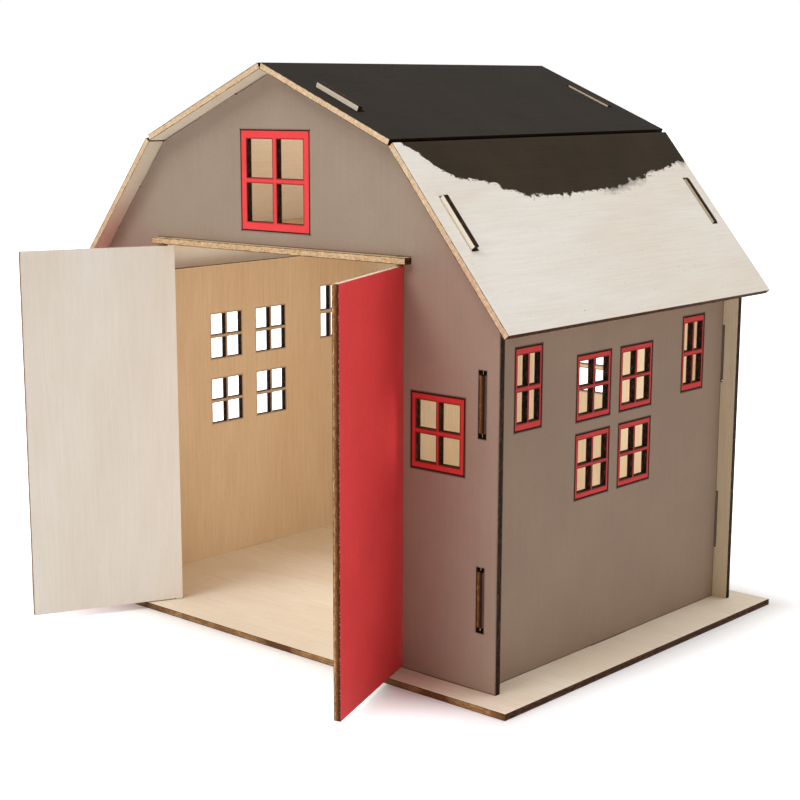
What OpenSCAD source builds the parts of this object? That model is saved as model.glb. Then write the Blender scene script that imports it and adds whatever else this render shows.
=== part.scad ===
// Flat-pack toy barn in laser-cut plywood: slotted walls, gambrel roof, loft floor and two doors on wooden pegs.

/* [Plywood] */
// Thickness of every sheet
ply = 3; // [2.8:0.1:3.4]
// How much wider than the sheet the slots in the base and over the doorway are cut
slot_play = 0.6; // [0.4:0.1:1]
// How much wider than the sheet the slots in the walls and the roof are cut
wide_slot_play = 1.3; // [0.8:0.1:1.6]
// Part of that play on the inner side of a side wall's tab and on the outer side of a roof tab
near_play = 0.15; // [0.1:0.05:0.4]
// Free length at each end of a tab in its slot
tab_end_play = 0.75; // [0.3:0.05:1.5]
// How far a tab's end stays below the face that it comes through
tab_recess = 0.3; // [0.2:0.05:0.8]

/* [Base] */
// Width of the base from side to side
base_width = 292; // [280:1:320]
// Length of the base from front to back
base_depth = 217; // [210:1:240]
// Width of the strip of base in front of the front wall
porch = 14; // [10:1:20]

/* [Walls] */
// Width of the front and back walls
wall_width = 260; // [250:1:268]
// Distance between the outer faces of the front and back walls
barn_depth = 191.4; // [180:0.1:195]
// Height of the roof's underside over the gable walls' upright edges, above the base
eave_height = 165; // [160:1:170]
// Height of the bend in the roof's underside above the base
knuckle_height = 230.3; // [226:0.1:236]
// Distance from the middle to the bend in the roof line
knuckle_reach = 76; // [70:1:82]
// Height of the roof's underside at the ridge above the base
ridge_height = 262.7; // [258:0.1:270]
// Width of gable wall that stands out past the side walls
side_inset = 8; // [6:0.1:9]
// Height of the side walls above the base
side_height = 161.5; // [155:0.5:163]

/* [Wall tabs] */
// Length of the side walls' front end tabs
front_end_tab = 24.5; // [18:0.5:27]
// Length of their back end tabs
back_end_tab = 28; // [18:0.1:28.2]
// Length of the slots for those tabs
end_slot = 29; // [28:0.5:30]
// Height of the lower end tab's middle above the base
lower_end_tab = 40.4; // [30:0.1:45]
// Height of the upper end tab's middle above the base
upper_end_tab = 124.8; // [115:0.1:130]
// Length of the tabs that stand in the base
foot_tab = 27; // [20:1:32]
// Distance from the middle to the gable walls' foot tabs
foot_tab_reach = 104; // [98:1:108]

/* [Roof] */
// How far the roof stands out in front of the front wall
front_overhang = 8.8; // [6:0.1:12]
// How far the roof stands out behind the back wall
back_overhang = 7.6; // [5:0.1:12]
// How far the lower panels run down past the walls' corners
eave_overhang = 13.4; // [10:0.1:16]
// Gap between two panels at the bend
knuckle_gap = 0.8; // [0.2:0.1:1.5]
// Length of the tabs that hold the roof panels
roof_tab = 26.5; // [20:0.5:30]
// Distance from the ridge to the middle of the upper tabs
upper_tab_reach = 40.7; // [34:0.1:44]
// Distance from the bend to the middle of the lower tabs
lower_tab_reach = 43.3; // [38:0.1:46]
// Gap between the gable walls' slanted edges and the roof panels, which hang on the tabs
shoulder_gap = 0.6; // [0:0.1:1]
// How far the front wall's tabs stand out through the roof
front_tab_rise = 2.1; // [0:0.1:3]
// How far the back wall's tabs stand out through the roof
back_tab_rise = 0.5; // [0:0.1:3]

/* [Doorway and doors] */
// Width of the doorway
doorway_width = 155.6; // [150:0.1:156]
// Height of the doorway, up to the loft floor
doorway_height = 180.5; // [175:0.5:183]
// Distance from a door's turning line to the side of the doorway
jamb_reach = 2.9; // [2.8:0.05:3.2]
// Width of the pegs at the doors' hinge corners
peg_width = 3.4; // [3:0.1:3.6]
// Radial play of a peg's corners in its hole
peg_play = 0.08; // [0.05:0.01:0.1]
// Gap between the two closed doors
door_meeting_gap = 1.2; // [0.8:0.1:2]
// Gap under a door
door_foot_gap = 0.5; // [0.4:0.1:1]
// Gap over a door
door_head_gap = 1; // [0.6:0.1:1.5]
// How far the left door stands open, in degrees
left_door_open = 114; // [0:1:117]
// How far the right door stands open, in degrees
right_door_open = 111; // [0:1:117]

/* [Loft floor] */
// How far the loft floor's lip stands out through the front wall
lip_reach = 4; // [3:0.1:6]
// Width of the lip
lip_width = 163.2; // [161:0.1:168]
// Gap above the loft floor in its slots
loft_slot_play = 0.35; // [0.2:0.05:0.6]
// Gap between the loft floor's sides and the roof
loft_side_play = 1.2; // [0.6:0.1:3]
// Length of the tabs at the back of the loft floor
loft_tab = 28; // [20:1:36]
// Distance from the middle to those tabs
loft_tab_reach = 50; // [40:1:70]

/* [Windows] */
// Gable window: width and height of its outline
gable_window = [44.4, 46.2]; // [40:0.1:50]
// Gable window: side frame, top and bottom frame, upright bar, cross bar
gable_window_wood = [4.1, 4.3, 2.9, 2.5]; // [2:0.1:5]
// Height of the gable window's middle above the base
gable_window_height = 212.9; // [210:0.1:214]
// Door-side window: width and height of its outline
small_window = [29.7, 33.6]; // [26:0.1:34]
// Door-side window: side frame, top and bottom frame, upright bar, cross bar
small_window_wood = [2.8, 3.3, 1.8, 2.3]; // [1.4:0.1:4]
// Height of the door-side windows' middle above the base
small_window_height = 109.5; // [104:0.1:112]
// Distance from the middle to the front wall's door-side windows
front_window_reach = 97; // [95:0.5:99]
// Distance from the middle to the back wall's windows
back_window_reach = 45; // [40:1:60]
// Side window in the group of four: width and height of its outline
side_window = [26.4, 30]; // [22:0.1:31]
// Side window: side frame, top and bottom frame, upright bar, cross bar
side_window_wood = [2, 2.9, 1.3, 1.6]; // [1:0.1:4]
// Distance between the group's middles, along the wall and up
side_window_pitch = [33.8, 35.7]; // [32:0.1:38]
// Height of the group's middle above the base
side_group_height = 105; // [100:0.5:110]
// Narrow side window: width and height of its outline
narrow_window = [19.2, 36.4]; // [16:0.1:40]
// Narrow side window: side frame, top and bottom frame, upright bar, cross bar
narrow_window_wood = [1.7, 3.4, 1.2, 2.2]; // [1:0.1:4]
// Height of the narrow windows' middle above the base
narrow_window_height = 128.1; // [120:0.1:132]
// Distance from the wall's middle to the narrow windows
narrow_window_reach = 65.5; // [60:0.5:70]
// Width of the scored line round each window
score_width = 0.6; // [0.4:0.1:1]
// Depth of that line
score_depth = 0.4; // [0.2:0.05:0.8]

/* [Hidden] */

$fn = 48;
// Overshoot that keeps cuts clean
over = 1;

// Levels, measured up from the underside of the base
floor_z = ply;
eave_z = floor_z + eave_height;
knuckle_z = floor_z + knuckle_height;
ridge_z = floor_z + ridge_height;
side_top_z = floor_z + side_height;
loft_z = floor_z + doorway_height;
loft_top_z = loft_z + ply;

// Places along the barn, measured from the middle of the base
front_y = porch - base_depth / 2;
back_y = front_y + barn_depth;
middle_y = (front_y + back_y) / 2;
inner_depth = barn_depth - 2 * ply;

// Places across the barn
wall_x = wall_width / 2;
side_x = wall_x - side_inset;
jamb_x = doorway_width / 2;
pivot_x = jamb_x - jamb_reach;
pivot_y = front_y + ply / 2;

// Slopes of the gambrel roof and the lengths of its underside over the wall
upper_rise = ridge_z - knuckle_z;
lower_rise = knuckle_z - eave_z;
lower_run = wall_x - knuckle_reach;
upper_angle = atan2(upper_rise, knuckle_reach);
lower_angle = atan2(lower_rise, lower_run);
upper_edge = norm([upper_rise, knuckle_reach]);
lower_edge = norm([lower_rise, lower_run]);

// Drop from the roof's underside to the walls' edges, and where the two dropped edges meet
upper_drop = shoulder_gap / cos(upper_angle);
lower_drop = shoulder_gap / cos(lower_angle);
knuckle_shift = (upper_drop - lower_drop) / (lower_rise / lower_run - upper_rise / knuckle_reach);

// A peg's corners turn just inside its round hole
peg_radius = norm([peg_width, ply]) / 2;
peg_hole_radius = peg_radius + peg_play;
door_width = pivot_x + peg_width / 2 - door_meeting_gap / 2;
door_bottom_z = floor_z + door_foot_gap;
door_top_z = loft_z - door_head_gap;

// The loft floor ends just inside the lower roof panels
loft_half = knuckle_reach + lower_run * (knuckle_z - loft_top_z) / lower_rise - loft_side_play;

taupe = "#a08c7e";
barn_red = "#c93b38";
roof_brown = "#3c3630";
bare_ply = "#e0d4bf";

module both_sides() {
    children();
    mirror([1, 0, 0]) children();
}

// A sheet with its outer face up: the first child is its outline, the second its scored lines
module scored_sheet() {
    difference() {
        linear_extrude(ply) children(0);
        translate([0, 0, ply - score_depth]) linear_extrude(score_depth + over) children(1);
    }
}

// Four panes, two by two, inside a frame of the given widths of wood
module window_panes(size, wood) {
    pane = [(size.x - wood[2]) / 2 - wood[0], (size.y - wood[3]) / 2 - wood[1]];
    for (side = [-1, 1])
        for (row = [-1, 1])
            translate([side * (pane.x + wood[2]) / 2, row * (pane.y + wood[3]) / 2])
                square(pane, center = true);
}

module window_score(size) {
    difference() {
        square(size, center = true);
        square([size.x - 2 * score_width, size.y - 2 * score_width], center = true);
    }
}

// Places the child at each window of a gable wall's lower storey
module at_small_windows(reach) {
    both_sides() translate([reach, floor_z + small_window_height]) children();
}

module at_side_group() {
    for (column = [-1, 1])
        for (row = [-1, 1])
            translate([middle_y + column * side_window_pitch.x / 2,
                       floor_z + side_group_height + row * side_window_pitch.y / 2])
                children();
}

module at_narrow_windows() {
    for (end = [-1, 1])
        translate([middle_y + end * narrow_window_reach, floor_z + narrow_window_height]) children();
}

// Corners of a tab with its middle at the given reach along a line from start to finish
function tab_corners(start, finish, reach, length, top, foot = 0) =
    let (
        along = (finish - start) / norm(finish - start),
        outward = [-along.y, along.x],
        near = start + along * (reach - length / 2),
        far = near + along * length
    )
    [near + outward * foot, near + outward * top, far + outward * top, far + outward * foot];

// The right half of a gable wall, down from the peak and back along its foot, with its tabs
function gable_half(tab_rise) = concat(
    [[0, ridge_z - upper_drop]],
    tab_corners([0, ridge_z], [knuckle_reach, knuckle_z], upper_tab_reach, roof_tab,
                ply + tab_rise, -shoulder_gap),
    [[knuckle_reach + knuckle_shift, knuckle_z - lower_drop - knuckle_shift * lower_rise / lower_run]],
    tab_corners([knuckle_reach, knuckle_z], [wall_x, eave_z], lower_tab_reach, roof_tab,
                ply + tab_rise, -shoulder_gap),
    [[wall_x, eave_z - lower_drop], [wall_x, floor_z]],
    tab_corners([wall_x, floor_z], [0, floor_z], wall_x - foot_tab_reach, foot_tab, ply - tab_recess)
);

// A gable wall's outline, with slots for the side walls
module gable_outline(tab_rise) {
    half = gable_half(tab_rise);
    difference() {
        polygon(concat(half, [for (i = [len(half) - 1 : -1 : 1]) [-half[i].x, half[i].y]]));
        both_sides()
            for (level = [lower_end_tab, upper_end_tab])
                translate([side_x - ply - near_play, floor_z + level - end_slot / 2])
                    square([ply + wide_slot_play, end_slot]);
    }
}

module front_wall_outline() {
    difference() {
        gable_outline(front_tab_rise);
        translate([-jamb_x, floor_z - over]) square([doorway_width, doorway_height + 2 * over]);
        translate([-lip_width / 2 - slot_play / 2, loft_z])
            square([lip_width + slot_play, ply + loft_slot_play]);
        at_small_windows(front_window_reach) window_panes(small_window, small_window_wood);
        translate([0, floor_z + gable_window_height]) window_panes(gable_window, gable_window_wood);
    }
}

module front_wall() {
    color(taupe)
        translate([0, front_y + ply, 0]) rotate([90, 0, 0]) scored_sheet() {
            front_wall_outline();
            union() {
                at_small_windows(front_window_reach) window_score(small_window);
                translate([0, floor_z + gable_window_height]) window_score(gable_window);
            }
        }
}

module back_wall_outline() {
    difference() {
        gable_outline(back_tab_rise);
        both_sides()
            translate([loft_tab_reach - loft_tab / 2 - tab_end_play, loft_z])
                square([loft_tab + 2 * tab_end_play, ply + loft_slot_play]);
        at_small_windows(back_window_reach) window_panes(small_window, small_window_wood);
    }
}

module back_wall() {
    color(taupe)
        translate([0, back_y - ply, 0]) rotate([90, 0, 180]) scored_sheet() {
            back_wall_outline();
            at_small_windows(back_window_reach) window_score(small_window);
        }
}

// One tab stands in the base, and two at each end go through the gable walls
module side_wall_outline() {
    difference() {
        union() {
            translate([front_y + ply, floor_z]) square([inner_depth, side_height]);
            for (level = [lower_end_tab, upper_end_tab]) {
                translate([front_y + tab_recess, floor_z + level - front_end_tab / 2])
                    square([barn_depth / 2, front_end_tab]);
                translate([middle_y, floor_z + level - back_end_tab / 2])
                    square([barn_depth / 2 - tab_recess, back_end_tab]);
            }
            translate([middle_y - foot_tab / 2, tab_recess]) square([foot_tab, ply]);
        }
        at_side_group() window_panes(side_window, side_window_wood);
        at_narrow_windows() window_panes(narrow_window, narrow_window_wood);
    }
}

module side_wall() {
    translate([side_x - ply, 0, 0]) rotate([90, 0, 90]) scored_sheet() {
        side_wall_outline();
        union() {
            at_side_group() window_score(side_window);
            at_narrow_windows() window_score(narrow_window);
        }
    }
}

module left_wall() {
    color(taupe) mirror([1, 0, 0]) side_wall();
}

module right_wall() {
    color(taupe) side_wall();
}

module foot_slot(length) {
    square([length + 2 * tab_end_play, ply + slot_play], center = true);
}

module floor_base() {
    color(bare_ply) linear_extrude(ply) difference() {
        square([base_width, base_depth], center = true);
        for (side = [-1, 1]) {
            for (wall_middle = [front_y + ply / 2, back_y - ply / 2])
                translate([side * foot_tab_reach, wall_middle]) foot_slot(foot_tab);
            translate([side * (side_x - ply / 2), middle_y]) rotate(90) foot_slot(foot_tab);
            translate([side * pivot_x, pivot_y]) circle(peg_hole_radius);
        }
    }
}

// The lip fills the slot over the doorway and takes the doors' upper pegs
module loft_floor() {
    color(bare_ply) translate([0, 0, loft_z]) linear_extrude(ply) difference() {
        union() {
            translate([-loft_half, front_y + ply]) square([2 * loft_half, inner_depth]);
            translate([-lip_width / 2, front_y - lip_reach]) square([lip_width, lip_reach + ply + over]);
            for (side = [-1, 1])
                translate([side * loft_tab_reach - loft_tab / 2, back_y - ply - over])
                    square([loft_tab, ply + over - tab_recess]);
        }
        for (side = [-1, 1])
            translate([side * pivot_x, pivot_y]) circle(peg_hole_radius);
    }
}

// Closed right-hand door about its own turning line, with a peg above and below its hinge corner
module door_leaf() {
    translate([0, ply / 2, 0]) rotate([90, 0, 0]) linear_extrude(ply) {
        translate([peg_width / 2 - door_width, door_bottom_z])
            square([door_width, door_top_z - door_bottom_z]);
        translate([-peg_width / 2, tab_recess]) square([peg_width, loft_top_z - 2 * tab_recess]);
    }
}

module hung_door(opening) {
    translate([pivot_x, pivot_y, 0]) rotate([0, 0, opening]) door_leaf();
}

module left_door() {
    color(barn_red) mirror([1, 0, 0]) hung_door(left_door_open);
}

module right_door() {
    color(barn_red) hung_door(right_door_open);
}

// A roof panel flat on its slope, from start to finish down the slope, with a slot over each gable wall
module roof_panel(start, finish, tab_reach) {
    slot = [roof_tab + 2 * tab_end_play, ply + wide_slot_play];
    linear_extrude(ply) difference() {
        translate([start, front_y - front_overhang])
            square([finish - start, barn_depth + front_overhang + back_overhang]);
        for (slot_front = [front_y - near_play, back_y + near_play - slot.y])
            translate([tab_reach - slot.x / 2, slot_front]) square(slot);
    }
}

module upper_panel() {
    translate([0, 0, ridge_z]) rotate([0, upper_angle, 0]) roof_panel(0, upper_edge, upper_tab_reach);
}

module lower_panel() {
    translate([knuckle_reach, 0, knuckle_z]) rotate([0, lower_angle, 0])
        roof_panel(knuckle_gap, lower_edge + eave_overhang, lower_tab_reach);
}

module roof_upper_left() {
    color(roof_brown) mirror([1, 0, 0]) upper_panel();
}

module roof_upper_right() {
    color(roof_brown) upper_panel();
}

module roof_lower_left() {
    color(bare_ply) mirror([1, 0, 0]) lower_panel();
}

module roof_lower_right() {
    color(bare_ply) lower_panel();
}

floor_base();
front_wall();
back_wall();
left_wall();
right_wall();
loft_floor();
left_door();
right_door();
roof_upper_left();
roof_upper_right();
roof_lower_left();
roof_lower_right();
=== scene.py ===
import math

import bpy
from mathutils import Matrix, Vector

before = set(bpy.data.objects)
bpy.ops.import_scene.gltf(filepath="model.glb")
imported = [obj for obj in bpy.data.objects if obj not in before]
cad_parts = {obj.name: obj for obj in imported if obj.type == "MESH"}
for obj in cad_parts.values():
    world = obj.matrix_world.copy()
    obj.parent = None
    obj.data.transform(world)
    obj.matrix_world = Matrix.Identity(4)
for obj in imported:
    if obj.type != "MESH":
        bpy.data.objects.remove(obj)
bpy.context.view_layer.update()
print("frame loaded:", ", ".join(sorted(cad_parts)))


# sRGB hex to the linear colour that Blender's sockets take
def toLinear(code):
    parts = [int(code[i:i + 2], 16) / 255 for i in (1, 3, 5)]
    return (*[c / 12.92 if c <= 0.04045 else ((c + 0.055) / 1.055) ** 2.4 for c in parts], 1.0)


# Adds a node, where kind is Blender's name without "ShaderNode". Settings are the node's own options or its sockets'
# values, links are the sockets or nodes that feed it
def addNode(tree, kind, settings={}, links={}):
    node = tree.nodes.new("ShaderNode" + kind)
    options = {key for key in settings if isinstance(key, str) and hasattr(node, key)}
    for key in options:
        setattr(node, key, settings[key])
    shown = {socket.name: socket for socket in reversed(list(node.inputs)) if socket.enabled}
    for key in settings:
        if key not in options:
            (node.inputs[key] if isinstance(key, int) else shown[key]).default_value = settings[key]
    for key, source in links.items():
        if not isinstance(source, bpy.types.NodeSocket):
            source = next(socket for socket in source.outputs if socket.enabled)
        tree.links.new(source, node.inputs[key] if isinstance(key, int) else shown[key])
    return node


# The photograph's viewing angle
photoCamera = {
    "place": (0.54043, -0.62656, 0.25487),  # metres
    "azimuth": 43.9525,  # degrees round from the front
    "elevation": 11.3506,
    "roll": -0.39237,
    "lens": 74.526,  # millimetres, as is the sensor
    "sensor": 36,
    "shift": (0.1, 0.0322),
    "clip": (0.01, 50),
}


def placeCamera(settings):
    azimuth, elevation, roll = (math.radians(settings[key]) for key in ("azimuth", "elevation", "roll"))
    ahead = Vector((
        -math.sin(azimuth) * math.cos(elevation),
        math.cos(azimuth) * math.cos(elevation),
        -math.sin(elevation),
    ))
    level = Vector((math.cos(azimuth), math.sin(azimuth), 0))
    upright = level.cross(ahead)
    right = math.cos(roll) * level + math.sin(roll) * upright
    up = -math.sin(roll) * level + math.cos(roll) * upright
    data = bpy.data.cameras.new("photoCamera")
    data.lens = settings["lens"]
    data.sensor_width = settings["sensor"]
    data.shift_x, data.shift_y = settings["shift"]
    data.clip_start, data.clip_end = settings["clip"]
    data.dof.use_dof = False
    camera = bpy.data.objects.new("photoCamera", data)
    bpy.context.scene.collection.objects.link(camera)
    camera.matrix_world = Matrix.Translation(settings["place"]) @ Matrix((right, up, -ahead)).transposed().to_4x4()
    bpy.context.scene.camera = camera


placeCamera(photoCamera)
bpy.context.scene.view_settings.view_transform = "Standard"
print("camera placed")


# Studio: white paper floor, even surroundings, a large soft lamp in front, a weaker one above, and small soft lamps
# that keep the inside of the barn nearly as light as the outside
studio = {
    "floorColour": "#F4F4F6",
    "floorReach": 12,  # metres from the middle to the paper's sides
    "floorLift": 0.02,  # white that the paper adds for the camera right beside the base
    "baseHalf": (0.146, 0.1085),  # metres; the lift grows from here out
    "liftReach": 0.055,  # metres out from the base where the paper is plain white
    "surroundings": 0.39,
    "surroundingsColour": "#FFFBF2",
    "lamps": {
        "frontLamp": {"place": (-0.60, -2.45, 3.20), "aim": (0, 0, 0.12), "size": (2.2, 2.2), "power": 83},
        "topLamp": {"place": (0.60, 0.90, 3.60), "aim": (0, 0, 0.12), "size": (1.8, 1.8), "power": 54},
        "roomLamp": {"place": (0.113, 0, 0.105), "aim": (-0.2, 0, 0.105), "size": (0.15, 0.14), "power": 0.124},
        "doorwayLamp": {"place": (0, -0.084, 0.12), "aim": (0, 0.2, 0.12), "size": (0.14, 0.10), "power": 0.022},
        "loftLamp": {"place": (0.03, 0, 0.222), "aim": (-0.3, 0, 0.205), "size": (0.15, 0.05), "power": 0.06},
    },
}


def hangLamp(name, lamp):
    data = bpy.data.lights.new(name, "AREA")
    data.shape = "RECTANGLE"
    data.size, data.size_y = lamp["size"]
    data.energy = lamp["power"]
    thing = bpy.data.objects.new(name, data)
    bpy.context.scene.collection.objects.link(thing)
    thing.location = lamp["place"]
    thing.rotation_euler = (Vector(lamp["aim"]) - Vector(lamp["place"])).to_track_quat("-Z", "Y").to_euler()
    thing.visible_camera = False
    thing.visible_glossy = False


# 1 for what the camera sees directly, in a reflection or through glass, 0 for light that falls on the object
def seenDirectly(tree):
    path = addNode(tree, "LightPath")
    rays = [path.outputs["Is " + kind + " Ray"] for kind in ("Camera", "Glossy", "Transmission")]
    both = addNode(tree, "Math", {"operation": "ADD"}, {0: rays[0], 1: rays[1]})
    return addNode(tree, "Math", {"operation": "ADD", "use_clamp": True}, {0: both, 1: rays[2]})


def buildStudio(settings):
    world = bpy.data.worlds.new("whiteStudio")
    bpy.context.scene.world = world
    world.use_nodes = True
    tree = world.node_tree
    tree.nodes.clear()
    softColour = toLinear(settings["surroundingsColour"])
    soft = addNode(tree, "Background", {"Color": softColour, "Strength": settings["surroundings"]})
    white = addNode(tree, "Background", {"Color": (1, 1, 1, 1), "Strength": 1.0})
    shown = addNode(tree, "MixShader", {}, {0: seenDirectly(tree), 1: soft, 2: white})
    addNode(tree, "OutputWorld", {}, {"Surface": shown})
    for name, lamp in settings["lamps"].items():
        hangLamp(name, lamp)

    paper = bpy.data.materials.new("dullWhitePaper")
    paper.use_nodes = True
    tree = paper.node_tree
    tree.nodes.clear()
    where = addNode(tree, "TexCoord")
    away = addNode(tree, "VectorMath", {"operation": "ABSOLUTE"}, {0: where.outputs["Object"]})
    away = addNode(tree, "VectorMath", {"operation": "SUBTRACT", 1: (*settings["baseHalf"], 0)}, {0: away})
    away = addNode(tree, "VectorMath", {"operation": "MAXIMUM"}, {0: away})
    away = addNode(tree, "VectorMath", {"operation": "LENGTH"}, {0: away})
    lift = addNode(tree, "MapRange", {"From Max": settings["liftReach"], "To Min": settings["floorLift"]},
                   {"Value": away.outputs["Value"]})
    lift = addNode(tree, "Math", {"operation": "MULTIPLY"}, {0: lift, 1: seenDirectly(tree)})
    dull = addNode(tree, "BsdfDiffuse", {"Color": toLinear(settings["floorColour"])})
    glow = addNode(tree, "Emission", {"Color": (1, 1, 1, 1)}, {"Strength": lift})
    both = addNode(tree, "AddShader", {}, {0: dull, 1: glow})
    addNode(tree, "OutputMaterial", {}, {"Surface": both})
    mesh = bpy.data.meshes.new("floor")
    reach = settings["floorReach"]
    corners = [(-reach, -reach, 0), (reach, -reach, 0), (reach, reach, 0), (-reach, reach, 0)]
    mesh.from_pydata(corners, [], [(0, 1, 2, 3)])
    mesh.materials.append(paper)
    floor = bpy.data.objects.new("floor", mesh)
    bpy.context.scene.collection.objects.link(floor)


buildStudio(studio)
print("studio built")


# Millimetres on a flat sheet: u along it, v up it, and w through it, from 0 on the inner face to the thickness
# on the outer face. facing is the surface's direction in the same axes
def sheetSpace(tree, sheet):
    along, outward = Vector(sheet["along"]).normalized(), Vector(sheet["outward"]).normalized()
    turn = Matrix((along, outward.cross(along), outward))
    turned = {"Rotation": turn.to_euler()}
    placed = {"Location": -(turn @ Vector(sheet["origin"])), "Scale": (1000, 1000, 1000)}  # metres to millimetres
    where = addNode(tree, "TexCoord")
    flat = addNode(tree, "Mapping", {"vector_type": "POINT", **turned, **placed}, {"Vector": where.outputs["Object"]})
    facing = addNode(tree, "Mapping", {"vector_type": "VECTOR", **turned}, {"Vector": where.outputs["Normal"]})
    u, v, w = addNode(tree, "SeparateXYZ", {}, {0: flat}).outputs
    facingU, facingV, facingW = addNode(tree, "SeparateXYZ", {}, {0: facing}).outputs
    return {"flat": flat, "u": u, "v": v, "w": w, "facingU": facingU, "facingV": facingV, "facingW": facingW,
            "grain": sheet["grain"]}


noiseRange = {"From Min": 0.35, "From Max": 0.65}  # noise seldom leaves this range, so it is stretched to 0 to 1


# Scale of a pattern from its waves per millimetre along the grain, across it and through the sheet
def grainScale(space, waves):
    along, across, through = waves
    scale = (along, across, through) if space["grain"] == "u" else (across, along, through)
    return {"vector_type": "VECTOR", "Scale": scale}


veneerPattern = {
    "fibre": (0.03, 0.75, 0.3),  # fibres 33 mm long and 1.3 mm apart
    "fibreRange": (0.33, 0.67),
    "drift": (0.009, 0.03, 0.1),  # drifts 110 mm long and 33 mm wide
    "pore": (0.2, 2.3, 1),  # pores 5 mm long. Real ones are about 0.1 mm wide; drawn 0.4 mm wide so that they show
    "poreRange": (0.58, 0.74),
    "poreDepth": 0.6,  # share of the relief
    "fibreDepth": 0.2,
    "roughnessSpread": 0.06,
}


# Rotary-cut birch veneer, sanded: pale and even, with long faint fibres, broad warm and cool drifts and short pores
def birchVeneer(tree, space, wood):
    pattern = veneerPattern
    fibreAt = addNode(tree, "Mapping", grainScale(space, pattern["fibre"]), {"Vector": space["flat"]})
    fibre = addNode(tree, "TexNoise", {"Scale": 1.0, "Detail": 5, "Roughness": 0.66, "Distortion": 0.2},
                    {"Vector": fibreAt})
    driftAt = addNode(tree, "Mapping", grainScale(space, pattern["drift"]), {"Vector": space["flat"]})
    drift = addNode(tree, "TexNoise", {"Scale": 1.0, "Detail": 3, "Roughness": 0.55}, {"Vector": driftAt})
    poreAt = addNode(tree, "Mapping", grainScale(space, pattern["pore"]), {"Vector": space["flat"]})
    pore = addNode(tree, "TexNoise", {"Scale": 1.0, "Detail": 1, "Roughness": 0.4}, {"Vector": poreAt})
    fibreLow, fibreHigh = pattern["fibreRange"]
    fibreShare = addNode(tree, "MapRange", {"From Min": fibreLow, "From Max": fibreHigh}, {"Value": fibre})
    driftShare = addNode(tree, "MapRange", noiseRange, {"Value": drift})
    poreLow, poreHigh = pattern["poreRange"]
    poreShare = addNode(tree, "MapRange", {"From Min": poreLow, "From Max": poreHigh, "To Max": wood["pores"]},
                        {"Value": pore})
    colour = addNode(tree, "Mix", {"data_type": "RGBA", "A": toLinear(wood["light"]), "B": toLinear(wood["dark"])},
                     {"Factor": fibreShare})
    drifted = addNode(tree, "Mix", {"data_type": "RGBA", "blend_type": "MULTIPLY", "B": toLinear(wood["drift"])},
                      {"Factor": driftShare, "A": colour})
    colour = addNode(tree, "Mix", {"data_type": "RGBA", "B": toLinear(wood["pore"])},
                     {"Factor": poreShare, "A": drifted})
    spread = pattern["roughnessSpread"]
    rough = addNode(tree, "MapRange", {"To Min": wood["roughness"] - spread, "To Max": wood["roughness"] + spread},
                    {"Value": fibreShare})
    deep = pattern["poreDepth"]
    height = addNode(tree, "Math", {"operation": "MULTIPLY_ADD", 1: -deep, 2: deep}, {0: poreShare})
    height = addNode(tree, "Math", {"operation": "MULTIPLY_ADD", 1: -pattern["fibreDepth"]}, {0: fibreShare, 2: height})
    return {"colour": colour, "rough": rough, "height": height}


paintPattern = {
    "fibre": (0.02, 0.7, 0.3),  # the veneer's fibres under the paint, 1.4 mm apart
    "cloud": 0.03,  # clouds 33 mm wide
    "stipple": 0.9,  # the roller's stipple, 1.1 mm wide
    "fibreDepth": 0.3,  # share of the relief
    "stippleDepth": 0.25,
    "roughnessSpread": 0.05,
}


# Water-based matt paint, thinly rolled on plywood: even and dull, faint cloudy drifts, a fine stipple and a trace of
# the fibres
def mattPaint(tree, space, paint):
    pattern = paintPattern
    cloud = addNode(tree, "TexNoise", {"Scale": pattern["cloud"], "Detail": 3, "Roughness": 0.55},
                    {"Vector": space["flat"]})
    stipple = addNode(tree, "TexNoise", {"Scale": pattern["stipple"], "Detail": 3, "Roughness": 0.6},
                      {"Vector": space["flat"]})
    fibreAt = addNode(tree, "Mapping", grainScale(space, pattern["fibre"]), {"Vector": space["flat"]})
    fibre = addNode(tree, "TexNoise", {"Scale": 1.0, "Detail": 4, "Roughness": 0.6}, {"Vector": fibreAt})
    cloudShare, stippleShare, fibreShare = [
        addNode(tree, "MapRange", noiseRange, {"Value": noise}) for noise in (cloud, stipple, fibre)
    ]
    colour = addNode(tree, "Mix", {"data_type": "RGBA", "A": toLinear(paint["light"]), "B": toLinear(paint["dark"])},
                     {"Factor": cloudShare})
    speck = addNode(tree, "Math", {"operation": "MULTIPLY"}, {0: stippleShare, 1: fibreShare})
    speck = addNode(tree, "Math", {"operation": "MULTIPLY", 1: paint["stipple"]}, {0: speck})
    colour = addNode(tree, "Mix", {"data_type": "RGBA", "B": toLinear(paint["speck"])}, {"Factor": speck, "A": colour})
    spread = pattern["roughnessSpread"]
    rough = addNode(tree, "MapRange", {"To Min": paint["roughness"] - spread, "To Max": paint["roughness"] + spread},
                    {"Value": stippleShare})
    height = addNode(tree, "Math", {"operation": "MULTIPLY", 1: pattern["fibreDepth"]}, {0: fibreShare})
    height = addNode(tree, "Math", {"operation": "MULTIPLY_ADD", 1: pattern["stippleDepth"]},
                     {0: stippleShare, 2: height})
    return {"colour": colour, "rough": rough, "height": height}


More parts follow.
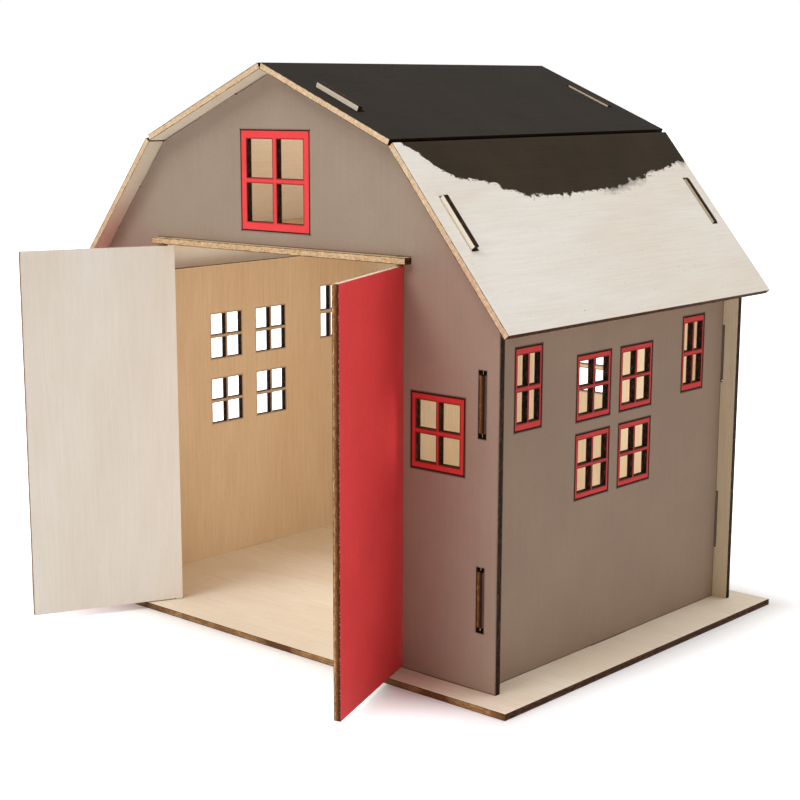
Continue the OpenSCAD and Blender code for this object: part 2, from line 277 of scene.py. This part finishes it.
edgePattern = {
    "fleck": (0.42, 0.42, 1.5),  # waves per millimetre: flecks 2.4 mm long and 0.7 mm wide
    "sectionFlecks": 0.45,  # how much the flecks darken an edge that is burnt through its thickness
    "sectionWander": 1.0,  # mm that they move its colours
    "patch": 0.035,  # patches 29 mm long
    "patchSpread": 0.16,
    # Burn marks across the edge are a tenth of a millimetre apart; drawn half a millimetre apart so that they show
    "mark": (2.0, 2.0, 0.15),
    "markRange": (0.4, 0.6),
    "markColour": "#8A6A50",
    "markStrength": 0.18,
    "coreHalf": (0.62, 0.48),  # mm from the sheet's middle where the dark core ply ends and where it is full
    "paleFacing": (0.55, 0.8),  # how squarely a pale edge has to face its way
    "charSpread": (0.25, 0.5),
    "charFlecks": 0.6,  # mm that the flecks move the char's border
    "charStrength": 0.92,
    "chip": 1.1,  # flecks 0.9 mm wide
    "chipRange": (0.53, 0.63),
    "chipDepth": (0.4, 0.2),  # mm below the outer face where the chips start and where they are full
    "roughness": (0.6, 0.85),
}


# Burnt more and more from the inner face to the outer one, where the laser came in
def burntSection(tree, space, edge, fleck, fleckShare):
    wander = edgePattern["sectionWander"]
    depth = addNode(tree, "Math", {"operation": "MULTIPLY_ADD", 1: wander, 2: -wander / 2}, {0: fleck})
    depth = addNode(tree, "Math", {"operation": "ADD"}, {0: depth, 1: space["w"]})
    depth = addNode(tree, "Math", {"operation": "DIVIDE", 1: edge["thickness"]}, {0: depth})
    ramp = addNode(tree, "ValToRGB", {}, {0: depth})
    stops = ramp.color_ramp.elements
    for place, code in edge["section"][1:-1]:
        stops.new(place)
    for stop, (place, code) in zip(stops, edge["section"]):
        stop.position, stop.color = place, toLinear(code)
    darkened = addNode(tree, "Math", {"operation": "MULTIPLY", 1: edgePattern["sectionFlecks"]}, {0: fleckShare})
    return addNode(tree, "Mix", {"data_type": "RGBA", "B": toLinear(edge["charDark"])},
                   {"Factor": darkened, "A": ramp})


# Bare flecks where the paint broke off along the cut
def chippedRim(tree, space, edge, colour):
    pattern = edgePattern
    chip = addNode(tree, "TexNoise", {"Scale": pattern["chip"], "Detail": 2, "Roughness": 0.6},
                   {"Vector": space["flat"]})
    chipLow, chipHigh = pattern["chipRange"]
    chip = addNode(tree, "MapRange", {"From Min": chipLow, "From Max": chipHigh}, {"Value": chip})
    rimLow, rimHigh = (edge["thickness"] - depth for depth in pattern["chipDepth"])
    rim = addNode(tree, "MapRange", {"From Min": rimLow, "From Max": rimHigh}, {"Value": space["w"]})
    chip = addNode(tree, "Math", {"operation": "MULTIPLY"}, {0: chip, 1: rim})
    return addNode(tree, "Mix", {"data_type": "RGBA", "B": toLinear(edge["chipped"])}, {"Factor": chip, "A": colour})


# Laser-cut edge of three-ply birch. Away from the worst of the flame it is cream to honey, with uneven char along
# both faces; elsewhere it is charred brown to black. Scorch flecks run along the edge, fine burn marks across it
def laserEdge(tree, space, edge):
    pattern = edgePattern
    fleckAt = addNode(tree, "Mapping", {"vector_type": "VECTOR", "Scale": pattern["fleck"]}, {"Vector": space["flat"]})
    fleck = addNode(tree, "TexNoise", {"Scale": 1.0, "Detail": 4, "Roughness": 0.7}, {"Vector": fleckAt})
    markAt = addNode(tree, "Mapping", {"vector_type": "VECTOR", "Scale": pattern["mark"]}, {"Vector": space["flat"]})
    mark = addNode(tree, "TexNoise", {"Scale": 1.0, "Detail": 2, "Roughness": 0.5}, {"Vector": markAt})
    fleckLow, fleckHigh = edge["flecks"]
    fleckShare = addNode(tree, "MapRange", {"From Min": fleckLow, "From Max": fleckHigh}, {"Value": fleck})
    markLow, markHigh = pattern["markRange"]
    markShare = addNode(tree, "MapRange", {"From Min": markLow, "From Max": markHigh,
                                           "To Max": pattern["markStrength"]}, {"Value": mark})

    # How far from the sheet's middle, in mm
    middle = addNode(tree, "Math", {"operation": "SUBTRACT", 1: edge["thickness"] / 2}, {0: space["w"]})
    middle = addNode(tree, "Math", {"operation": "ABSOLUTE"}, {0: middle})

    colours = {}
    if "section" in edge:
        colours["pale" if edge["paleFacing"] == "u" else "dark"] = burntSection(tree, space, edge, fleck, fleckShare)
    if "pale" not in colours:
        patch = addNode(tree, "TexNoise", {"Scale": pattern["patch"], "Detail": 2, "Roughness": 0.5},
                        {"Vector": space["flat"]})
        patchLow = edge["patchFrom"]
        patchShare = addNode(tree, "MapRange", {"From Min": patchLow, "From Max": patchLow + pattern["patchSpread"]},
                             {"Value": patch})
        pale = addNode(tree, "Mix", {"data_type": "RGBA", "A": toLinear(edge["paleLight"]),
                                     "B": toLinear(edge["paleDark"])}, {"Factor": fleckShare})
        colours["pale"] = addNode(tree, "Mix", {"data_type": "RGBA", "B": toLinear(edge["patch"])},
                                  {"Factor": patchShare, "A": pale})
    if "dark" not in colours:
        burnt = toLinear(edge["charDark"])
        dark = addNode(tree, "Mix", {"data_type": "RGBA", "A": toLinear(edge["charLight"]), "B": burnt},
                       {"Factor": fleckShare})
        coreEnd, coreFull = pattern["coreHalf"]
        core = addNode(tree, "MapRange", {"From Min": coreEnd, "From Max": coreFull}, {"Value": middle})
        core = addNode(tree, "Math", {"operation": "MULTIPLY", 1: edge["coreBurn"]}, {0: core})
        colours["dark"] = addNode(tree, "Mix", {"data_type": "RGBA", "B": burnt}, {"Factor": core, "A": dark})

    facing = space["facing" + edge["paleFacing"].upper()]
    facing = addNode(tree, "Math", {"operation": "ABSOLUTE"}, {0: facing})
    facingLow, facingHigh = pattern["paleFacing"]
    facing = addNode(tree, "MapRange", {"From Min": facingLow, "From Max": facingHigh, "To Max": edge["paleness"]},
                     {"Value": facing})
    reach = addNode(tree, "Math", {"operation": "SUBTRACT", 1: edge["paleMiddle"]}, {0: space[edge["paleFacing"]]})
    reach = addNode(tree, "Math", {"operation": "ABSOLUTE"}, {0: reach})
    reach = addNode(tree, "Math", {"operation": "GREATER_THAN", 1: edge["paleBeyond"]}, {0: reach})
    paleShare = addNode(tree, "Math", {"operation": "MULTIPLY"}, {0: facing, 1: reach})
    colour = addNode(tree, "Mix", {"data_type": "RGBA"},
                     {"Factor": paleShare, "A": colours["dark"], "B": colours["pale"]})
    markColour = toLinear(pattern["markColour"])
    colour = addNode(tree, "Mix", {"data_type": "RGBA", "blend_type": "MULTIPLY", "B": markColour},
                     {"Factor": markShare, "A": colour})
    uneven = addNode(tree, "Math", {"operation": "MULTIPLY_ADD", 1: pattern["charFlecks"]}, {0: fleck, 2: middle})
    charLow, charHigh = (edge["charFrom"] + spread for spread in pattern["charSpread"])
    char = addNode(tree, "MapRange", {"interpolation_type": "SMOOTHSTEP", "From Min": charLow, "From Max": charHigh,
                                      "To Max": pattern["charStrength"]}, {"Value": uneven})
    colour = addNode(tree, "Mix", {"data_type": "RGBA", "B": toLinear(edge["char"])}, {"Factor": char, "A": colour})
    if "chipped" in edge:
        colour = chippedRim(tree, space, edge, colour)
    roughLow, roughHigh = pattern["roughness"]
    rough = addNode(tree, "MapRange", {"To Min": roughLow, "To Max": roughHigh}, {"Value": fleckShare})
    height = addNode(tree, "Math", {"operation": "ADD"}, {0: fleckShare, 1: markShare})
    return {"colour": colour, "rough": rough, "height": height}


# How far out of the outline of mirrored rectangles, in mm, below 0 inside them. Each fold mirrors the sheet about a
# point, the last one is the rectangle's middle, and half is its half size. corner is how far from a corner
def outlineDistance(tree, space, box):
    step = space["flat"]
    for fold in box["folds"]:
        step = addNode(tree, "VectorMath", {"operation": "SUBTRACT", 1: (*fold, 0)}, {0: step})
        step = addNode(tree, "VectorMath", {"operation": "ABSOLUTE"}, {0: step})
    step = addNode(tree, "VectorMath", {"operation": "SUBTRACT", 1: (*box["half"], 0)}, {0: step})
    apart = addNode(tree, "SeparateXYZ", {}, {0: step})
    edge = addNode(tree, "Math", {"operation": "MAXIMUM"}, {0: apart.outputs[0], 1: apart.outputs[1]})
    level = addNode(tree, "VectorMath", {"operation": "MULTIPLY", 1: (1, 1, 0)}, {0: step})
    corner = addNode(tree, "VectorMath", {"operation": "LENGTH"}, {0: level})
    return {"edge": edge, "corner": corner.outputs["Value"]}


# Lays one finish over another where share is 1
def layOver(tree, under, over, share):
    kinds = {"colour": "RGBA", "rough": "FLOAT", "height": "FLOAT"}
    return {
        key: addNode(tree, "Mix", {"data_type": kind}, {"Factor": share, "A": under[key], "B": over[key]})
        for key, kind in kinds.items()
    }


# Darkens the face along a cut, most at its corners: smoke from the cutter, and along the rims also painted shade where
# pieces meet
def sootStain(tree, under, away, soot):
    smooth = {"interpolation_type": "SMOOTHSTEP"}
    lineReach, dotReach = soot["reach"], soot["reach"] * 1.1
    lineFull, dotFull = 0.15, 0.2  # mm from the cut, or from its corner, where the stain is at its darkest
    line = addNode(tree, "Math", {"operation": "ABSOLUTE"}, {0: away["edge"]})
    line = addNode(tree, "MapRange", {**smooth, "From Min": lineReach, "From Max": lineFull,
                                      "To Max": soot["strength"]}, {"Value": line})
    dot = addNode(tree, "MapRange", {**smooth, "From Min": dotReach, "From Max": dotFull,
                                     "To Max": soot["corner"]}, {"Value": away["corner"]})
    share = addNode(tree, "Math", {"operation": "MAXIMUM"}, {0: line, 1: dot})
    stained = addNode(tree, "Mix", {"data_type": "RGBA", "B": toLinear(soot["colour"])},
                      {"Factor": share, "A": under["colour"]})
    return {**under, "colour": stained}


spongePattern = {
    "reach": (110, 50),  # mm that the border's curve covers along the sheet, either way, and down it
    "solidRange": (-0.2, 0.25),  # mm of paint over which the border sets in
    "speck": 0.7,  # specks 1.4 mm wide
    "speckRange": (0.6, 0.66),
    "speckNear": (-0.12, 0.1),  # fewer specks at the end of their reach, more at the border
    "speckStrength": 0.9,
    "film": 0.3,  # streaks of film 3 mm wide
    "filmStart": 0.5,  # mm inside the border
    "filmNear": 1.1,
    "filmRange": (0.05, 0.6),
    "filmStrength": 0.75,
}


# Paint that stops at a ragged border across the sheet: border gives (u, mm down from the sheet's top line).
# Sponge dabs of several sizes break the border up, and loose specks lie just past it
def raggedShare(tree, space, band):
    pattern = spongePattern
    reach, depthRange = pattern["reach"]
    place = addNode(tree, "MapRange", {"From Min": -reach, "From Max": reach}, {"Value": space["u"]})
    curve = addNode(tree, "FloatCurve", {}, {"Value": place})
    line = curve.mapping.curves[0]
    marks = [((u + reach) / (2 * reach), down / depthRange) for u, down in band["border"]]
    line.points[0].location, line.points[1].location = marks[0], marks[-1]
    for mark in marks[1:-1]:
        line.points.new(*mark)
    curve.mapping.update()
    # Millimetres of paint below this point
    inside = addNode(tree, "Math", {"operation": "MULTIPLY_ADD", 1: depthRange}, {0: curve, 2: space["v"]})
    shifted = addNode(tree, "Mapping", {"vector_type": "POINT", "Location": band["shift"]}, {"Vector": space["flat"]})
    for size, depth in band["dabs"]:
        dab = addNode(tree, "TexNoise", {"Scale": 1 / size, "Detail": 2, "Roughness": 0.55}, {"Vector": shifted})
        inside = addNode(tree, "Math", {"operation": "MULTIPLY_ADD", 1: depth * 2}, {0: dab, 2: inside})
        inside = addNode(tree, "Math", {"operation": "SUBTRACT", 1: depth}, {0: inside})
    solidLow, solidHigh = pattern["solidRange"]
    solid = addNode(tree, "MapRange", {"From Min": solidLow, "From Max": solidHigh}, {"Value": inside})

    speck = addNode(tree, "TexNoise", {"Scale": pattern["speck"], "Detail": 2, "Roughness": 0.6}, {"Vector": shifted})
    fewer, more = pattern["speckNear"]
    near = addNode(tree, "MapRange", {"From Min": -band["speckReach"], "From Max": 0.0, "To Min": fewer,
                                      "To Max": more}, {"Value": inside})
    speck = addNode(tree, "Math", {"operation": "ADD"}, {0: speck, 1: near})
    speckLow, speckHigh = pattern["speckRange"]
    speck = addNode(tree, "MapRange", {"From Min": speckLow, "From Max": speckHigh,
                                       "To Max": pattern["speckStrength"]}, {"Value": speck})

    # Dry sponge: a thin grey film past the border in some stretches
    stretches = []
    for middle, half in band["dry"]:
        off = addNode(tree, "Math", {"operation": "SUBTRACT", 1: middle}, {0: space["u"]})
        off = addNode(tree, "Math", {"operation": "ABSOLUTE"}, {0: off})
        stretches.append(addNode(tree, "MapRange", {"From Min": half, "From Max": half / 2}, {"Value": off}))
    stretch = addNode(tree, "Math", {"operation": "MAXIMUM"}, {0: stretches[0], 1: stretches[-1]})
    film = addNode(tree, "TexNoise", {"Scale": pattern["film"], "Detail": 2, "Roughness": 0.55}, {"Vector": shifted})
    near = addNode(tree, "MapRange", {"From Min": -band["filmReach"], "From Max": pattern["filmStart"],
                                      "To Max": pattern["filmNear"]}, {"Value": inside})
    film = addNode(tree, "Math", {"operation": "MULTIPLY"}, {0: film, 1: near})
    film = addNode(tree, "Math", {"operation": "MULTIPLY"}, {0: film, 1: stretch})
    filmLow, filmHigh = pattern["filmRange"]
    film = addNode(tree, "MapRange", {"From Min": filmLow, "From Max": filmHigh, "To Max": pattern["filmStrength"]},
                   {"Value": film})
    loose = addNode(tree, "Math", {"operation": "MAXIMUM"}, {0: speck, 1: film})
    return addNode(tree, "Math", {"operation": "MAXIMUM"}, {0: solid, 1: loose})


# The window's own paint inside its outline, and soot along the outline and along its four panes on both faces
def paintWindow(tree, space, outer, inner, window):
    width, height = window["size"]
    side, top, upright, cross = window["wood"]
    away = outlineDistance(tree, space, {"folds": window["folds"], "half": (width / 2, height / 2)})
    inside = addNode(tree, "Math", {"operation": "LESS_THAN", 1: 0.0}, {0: away["edge"]})
    outer = layOver(tree, outer, mattPaint(tree, space, window["paint"]), inside)
    outer = sootStain(tree, outer, away, window["soot"])
    pane = ((width - upright) / 2 - side, (height - cross) / 2 - top)
    middle = ((pane[0] + upright) / 2, (pane[1] + cross) / 2)
    away = outlineDistance(tree, space, {"folds": [*window["folds"], middle], "half": (pane[0] / 2, pane[1] / 2)})
    return sootStain(tree, outer, away, paneSoot), sootStain(tree, inner, away, innerSoot)


# The roof tabs' ends stand out above the paint and are bare: each slope gives its top point and its angle
def bareTabs(tree, space, outer, slopes, wood):
    bare = birchVeneer(tree, space, wood)
    across = addNode(tree, "Math", {"operation": "ABSOLUTE"}, {0: space["u"]})
    for (peakU, peakV), angle in slopes:
        rise, run = math.sin(math.radians(angle)), math.cos(math.radians(angle))
        peak = -rise * peakU - run * peakV
        height = addNode(tree, "Math", {"operation": "MULTIPLY_ADD", 1: rise, 2: peak}, {0: across})
        height = addNode(tree, "Math", {"operation": "MULTIPLY_ADD", 1: run}, {0: space["v"], 2: height})
        above = addNode(tree, "Math", {"operation": "GREATER_THAN", 1: 1.5}, {0: height})  # mm above the slope
        outer = layOver(tree, outer, bare, above)
    return outer


def dressSheet(nodeName, sheet):
    material = bpy.data.materials.new(sheet["material"])
    material.use_nodes = True
    tree = material.node_tree
    tree.nodes.clear()
    space = sheetSpace(tree, sheet)

    inner = birchVeneer(tree, space, sheet["innerWood"])
    if "paint" in sheet:
        outer = mattPaint(tree, space, sheet["paint"])
    else:
        outer = birchVeneer(tree, space, sheet["outerWood"])
    if "bareAbove" in sheet:
        outer = bareTabs(tree, space, outer, sheet["bareAbove"], sheet["bareWood"])
    if "band" in sheet:
        sponged = mattPaint(tree, space, sheet["band"]["paint"])
        outer = layOver(tree, outer, sponged, raggedShare(tree, space, sheet["band"]))
    for window in sheet.get("windows", []):
        outer, inner = paintWindow(tree, space, outer, inner, window)
    for key, soot in (("slots", slotSoot), ("rims", rimSootAndShade)):
        for box in sheet.get(key, []):
            outer = sootStain(tree, outer, outlineDistance(tree, space, box), soot)

    edge = laserEdge(tree, space, sheet["edge"])
    thickness = sheet["edge"]["thickness"]
    skin, scoreSkin = 0.02, 0.1  # mm: nearer a face than the first is on it, deeper than the second is in a scored line
    isInner = addNode(tree, "Math", {"operation": "LESS_THAN", 1: skin}, {0: space["w"]})
    isOuter = addNode(tree, "Math", {"operation": "GREATER_THAN", 1: thickness - skin}, {0: space["w"]})
    finish = layOver(tree, edge, inner, isInner)
    finish = layOver(tree, finish, outer, isOuter)
    if "windows" in sheet:  # the bottom of the scored lines is charred
        squarely = 0.7
        outwards = addNode(tree, "Math", {"operation": "GREATER_THAN", 1: squarely}, {0: space["facingW"]})
        below = addNode(tree, "Math", {"operation": "LESS_THAN", 1: thickness - scoreSkin}, {0: space["w"]})
        scored = addNode(tree, "Math", {"operation": "MULTIPLY"}, {0: outwards, 1: below})
        finish["colour"] = addNode(tree, "Mix", {"data_type": "RGBA", "B": toLinear(sheet["scoreBottom"])},
                                   {"Factor": scored, "A": finish["colour"]})
    bump = addNode(tree, "Bump", {"Strength": sheet["bump"], "Distance": sheet["relief"]}, {"Height": finish["height"]})
    surface = addNode(tree, "BsdfPrincipled", {"IOR": sheet["ior"], "Specular IOR Level": sheet["sheen"]},
                      {"Base Color": finish["colour"], "Roughness": finish["rough"], "Normal": bump})
    addNode(tree, "OutputMaterial", {}, {"Surface": surface})
    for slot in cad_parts[nodeName].material_slots:
        slot.material = material
    print("dressed", nodeName)


# Finishes that several pieces share. A wood has two fibre colours, a drift that multiplies them, and its pores
smoothWood = {"pores": 0.25, "roughness": 0.6}
roughWood = {"pores": 0.25, "roughness": 0.62}
paleVeneer = {**smoothWood, "light": "#EFEAE4", "dark": "#E7E1D9", "drift": "#F8F4EE", "pore": "#D3C8BB", "pores": 0.2}
doorVeneer = {**smoothWood, "light": "#F4EFE8", "dark": "#EFE9E1", "drift": "#F9F6F1", "pore": "#DACFC2", "pores": 0.18}
# The back wall's inside: a paler copy of the inner veneer, painted light
backVeneerPaintedLight = {**smoothWood, "light": "#ECDDC3", "dark": "#E2D1B4", "drift": "#F6F1E8", "pore": "#C6AF8E"}
baseVeneer = {**smoothWood, "light": "#F5EBDC", "dark": "#ECE0CE", "drift": "#F6F2EC", "pore": "#C9B79D", "pores": 0.3}
# Roof undersides and bare tab ends: paler than the other veneers, painted light
creamVeneerPaintedLight = {**roughWood, "light": "#FAF0E0", "dark": "#F4E8D5", "drift": "#F9F5EF", "pore": "#D8C6AC"}
# Inside the barn: warmer and darker than the outer veneers, partly the sheet's other face, partly painted shade and
# painted warm bounce light
warmVeneerPaintedShade = {**roughWood, "light": "#E4CCAA", "dark": "#DBC09E", "drift": "#F8F4EF", "pore": "#BE9E7A"}
taupePaint = {"light": "#A58E7C", "dark": "#A08978", "speck": "#927967", "stipple": 0.25, "roughness": 0.75}
# The front wall's taupe is the sides' paint made paler and greener to cancel the red light the open door throws on the
# wall beside it: painted light
frontTaupePaintedLight = {"light": "#A99686", "dark": "#A49181", "speck": "#947F6F", "stipple": 0.25, "roughness": 0.75}
redPaint = {"light": "#F0484A", "dark": "#E84346", "speck": "#CF3938", "stipple": 0.25, "roughness": 0.62}
# The gable window's red is the doors' paint made brighter because the gable catches more light: painted light
gableRedPaintedLight = {"light": "#FA4D50", "dark": "#F3484A", "speck": "#DC3C3A", "stipple": 0.25, "roughness": 0.62}
# The other windows' red is the doors' paint made darker for the shade they stand in: painted shade
windowRedPaintedShade = {"light": "#DE4342", "dark": "#D43E3D", "speck": "#B83230", "stipple": 0.3, "roughness": 0.62}
roofPaint = {"light": "#2B2622", "dark": "#26221E", "speck": "#39332D", "stipple": 0.35, "roughness": 0.75}
spongedPaint = {"light": "#362D22", "dark": "#30281E", "speck": "#43392D", "stipple": 0.35, "roughness": 0.75}
scoreSoot = {"colour": "#281408", "reach": 0.9, "strength": 0.8, "corner": 0.7}
gableScoreSoot = {"colour": "#4A2412", "reach": 0.8, "strength": 0.35, "corner": 0.75}
paneSoot = {"colour": "#3A140C", "reach": 0.75, "strength": 0.75, "corner": 0.5}
innerSoot = {"colour": "#6B4424", "reach": 1.1, "strength": 0.55, "corner": 0.5}
slotSoot = {"colour": "#2A160A", "reach": 0.5, "strength": 0.45, "corner": 0.4}
# Rims: darker along a sheet's borders where it meets the next piece, partly smoke from the cut, partly painted shade of
# the joint
rimSootAndShade = {"colour": "#2A160A", "reach": 0.8, "strength": 0.5, "corner": 0.3}
plyEdge = {
    "thickness": 3,  # millimetres
    "flecks": (0.36, 0.64),
    "paleLight": "#F0D3AB", "paleDark": "#CC9E6E", "patch": "#9C6A3E", "patchFrom": 0.62,
    "charLight": "#6B4122", "charDark": "#241107", "coreBurn": 0.5, "char": "#2E170A", "charFrom": 1.12,
    "paleFacing": "v", "paleMiddle": 0, "paleBeyond": 0, "paleness": 1.0,  # which edges are pale, and how much
}
plainSheet = {
    "relief": 0.00015,  # metres
    "bump": 0.5, "ior": 1.46,
    "sheen": 0.2, "grain": "u", "scoreBottom": "#0C0602", "bareWood": creamVeneerPaintedLight, "innerWood": warmVeneerPaintedShade,
}

floorBase = {
    **plainSheet, "material": "bareBirchPlywoodLaserCut.base",
    "origin": (0, 0, 0), "along": (1, 0, 0), "outward": (0, 0, 1),  # millimetres
    "outerWood": baseVeneer, "innerWood": baseVeneer,
    "edge": {**plyEdge, "patchFrom": 0.42, "patch": "#6B4426", "paleLight": "#C59C68", "paleDark": "#8E6238"},
}
dressSheet("floor_base", floorBase)

loftFloor = {
    **plainSheet, "material": "bareBirchPlywoodLaserCut.loft",
    "origin": (0, 0, 183.5), "along": (1, 0, 0), "outward": (0, 0, 1),
    "outerWood": warmVeneerPaintedShade, "edge": {**plyEdge, "paleBeyond": 94},
}
dressSheet("loft_floor", loftFloor)

# Windows in mm: the painted outline's width and height, then the widths of the side frame, the top and bottom frame,
# the upright bar and the cross bar
gableWindow = {"paint": gableRedPaintedLight, "soot": gableScoreSoot, "size": (44.4, 46.2), "wood": (4.1, 4.3, 2.9, 2.5)}
smallWindow = {"paint": windowRedPaintedShade, "soot": scoreSoot, "size": (29.7, 33.6), "wood": (2.8, 3.3, 1.8, 2.3)}
sideWindow = {"paint": windowRedPaintedShade, "soot": scoreSoot, "size": (26.4, 30), "wood": (2, 2.9, 1.3, 1.6)}
narrowWindow = {"paint": windowRedPaintedShade, "soot": scoreSoot, "size": (19.2, 36.4), "wood": (1.7, 3.4, 1.2, 2.2)}

# The roof's two slopes: the top point in mm and the angle in degrees
upperSlope = ((0, 265.7), 23.0935)
lowerSlope = ((76, 233.3), 50.4132)

gableWall = {
    **plainSheet, "paint": taupePaint, "grain": "v",
    "edge": {**plyEdge, "paleness": 0.0, "flecks": (0.28, 0.52), "charLight": "#6B4020", "charDark": "#140903"},
    "slots": [{"folds": [(0, 85.6), (121.0, 42.2)], "half": (2.15, 14.5)}],
    "rims": [{"folds": [(0, 403)], "half": (130, 400)}],
    "bareAbove": [upperSlope, lowerSlope],
}
frontWall = {
    **gableWall, "material": "taupePaintedBirchPlywoodLaserCut.front",
    "paint": frontTaupePaintedLight, "scoreBottom": "#3A1E10",
    "origin": (0, -91.5, 0), "along": (1, 0, 0), "outward": (0, -1, 0),
    "windows": [{**smallWindow, "folds": [(0, 112.5), (97, 0)]}, {**gableWindow, "folds": [(0, 215.9)]}],
}
backWall = {
    **gableWall, "material": "taupePaintedBirchPlywoodLaserCut.back", "innerWood": backVeneerPaintedLight,
    "origin": (0, 93.9, 0), "along": (-1, 0, 0), "outward": (0, 1, 0),
    "windows": [{**smallWindow, "folds": [(0, 112.5), (45, 0)]}],
}
dressSheet("front_wall", frontWall)
dressSheet("back_wall", backWall)

sideWall = {
    **plainSheet, "paint": taupePaint, "grain": "v",
    "edge": {
        **plyEdge, "paleFacing": "u", "paleBeyond": 94.5, "flecks": (0.28, 0.5),
        "charLight": "#74441F", "charDark": "#0E0603",
        # Colours from the inner face, 0, to the outer face, 1
        "section": [(0.0, "#C79C69"), (0.12, "#B08350"), (0.4, "#8A5C30"), (0.6, "#4A2A14"), (1.0, "#22110A")],
    },
    "rims": [{"folds": [(0, 83.75)], "half": (92.7, 80.75)}],
    "windows": [
        {**sideWindow, "folds": [(0, 108), (16.9, 17.85)]},
        {**narrowWindow, "folds": [(0, 131.1), (65.5, 0)]},
    ],
}
for side, name in ((-1, "left"), (1, "right")):
    dressSheet(name + "_wall", {
        **sideWall, "material": "taupePaintedBirchPlywoodLaserCut." + name,
        "origin": (side * 119, 1.2, 0), "along": (0, side, 0), "outward": (side, 0, 0),
    })


# A roof panel's place and axes: u along the barn, v up the slope
def slopeAxes(slope, side):
    (across, up), angle = slope
    turn = math.radians(angle)
    return {
        "origin": (side * across, 0, up),
        "along": (0, side, 0),
        "outward": (side * math.sin(turn), 0, math.cos(turn)),
    }


roofEdge = {**plyEdge, "paleFacing": "u", "paleBeyond": 100, "paleLight": "#F4DEBD", "paleDark": "#DDB68A"}
roofSlot = {"middle": 1.2, "out": 93.7, "half": (2.15, 14)}  # mm along the barn
upperRoof = {
    **plainSheet, "paint": roofPaint, "innerWood": creamVeneerPaintedLight, "sheen": 0.06,
    "slotDown": 40.7,  # mm down the slope to the slots' middles
    "edge": {**roofEdge, "charLight": "#23130A", "charDark": "#0E0703"},
}
lowerRoof = {
    **plainSheet, "outerWood": paleVeneer, "innerWood": creamVeneerPaintedLight, "sheen": 0.1,
    "slotDown": 43.3,
    "edge": roofEdge,
}
sponging = {
    "paint": spongedPaint,
    # Where the paint stops: mm along the barn, mm down from the bend
    "border": [(-101, 0), (-92.5, 5.5), (-88.6, 10.2), (-82.3, 15.7), (-75.2, 20), (-60, 23), (-44, 29.5),
               (-28, 32.5), (0, 32.3), (25, 32), (49, 28.5), (84, 22.2), (104, 18.6)],
    "dabs": [(11, 2.4), (4, 2.8), (1.3, 0.9)],  # size and depth of the dabs that break the border up, in mm
    "speckReach": 3, "filmReach": 4.5,
    "dry": [(42, 24), (103, 7)],  # middle and half length of the stretches where the sponge ran dry, in mm
    "shift": (37, 13, 0),
}


def roofSlots(side, down):
    return [{"folds": [(side * roofSlot["middle"], 0), (roofSlot["out"], down)], "half": roofSlot["half"]}]


# The left panel's border mirrors the right one's
def spongedBand(side):
    return {
        **sponging,
        "border": [(side * place, down) for place, down in sponging["border"]][::side],
        "dry": [(side * middle, half) for middle, half in sponging["dry"]],
        "shift": (sponging["shift"][0] * side, *sponging["shift"][1:]),
    }


for side, name in ((-1, "left"), (1, "right")):
    dressSheet("roof_upper_" + name, {
        **upperRoof, "material": "darkPaintedBirchPlywoodLaserCut." + name, **slopeAxes(upperSlope, side),
        "slots": roofSlots(side, upperRoof["slotDown"]),
    })
    dressSheet("roof_lower_" + name, {
        **lowerRoof, "material": "partPaintedBirchPlywoodLaserCut." + name, **slopeAxes(lowerSlope, side),
        "slots": roofSlots(side, lowerRoof["slotDown"]), "band": spongedBand(side),
    })


door = {
    **plainSheet, "paint": redPaint, "innerWood": doorVeneer, "grain": "v",
    "pin": (74.9, -93),  # the hinge pegs' place in mm, to the side of the barn's middle and behind it
    "edge": {
        **plyEdge, "paleMiddle": 93, "paleBeyond": 80, "paleLight": "#F1E2CC", "paleDark": "#D9C1A2",
        "charDark": "#2A1309", "chipped": "#B99A8C",
        "section": [(0.0, "#F3D3AE"), (0.13, "#EBC192"), (0.27, "#B57E47"), (0.5, "#8C5428"), (0.75, "#5A2F16"),
                    (1.0, "#3A1C10")],
    },
}


# A door's place and axes as it stands open: u along the leaf, v up
def doorAxes(angle, side):
    turn = math.radians(angle)
    outward = Vector((side * math.sin(turn), -math.cos(turn), 0))
    pinSide, pinBack = door["pin"]
    return {
        "origin": Vector((side * pinSide, pinBack, 0)) - door["edge"]["thickness"] / 2 * outward,
        "along": Vector((0, 0, 1)).cross(outward),
        "outward": outward,
    }


for side, name, angle in ((-1, "left", 114), (1, "right", 111)):
    dressSheet(name + "_door", {
        **door, "material": "redPaintedBirchPlywoodLaserCut." + name, **doorAxes(angle, side),
    })
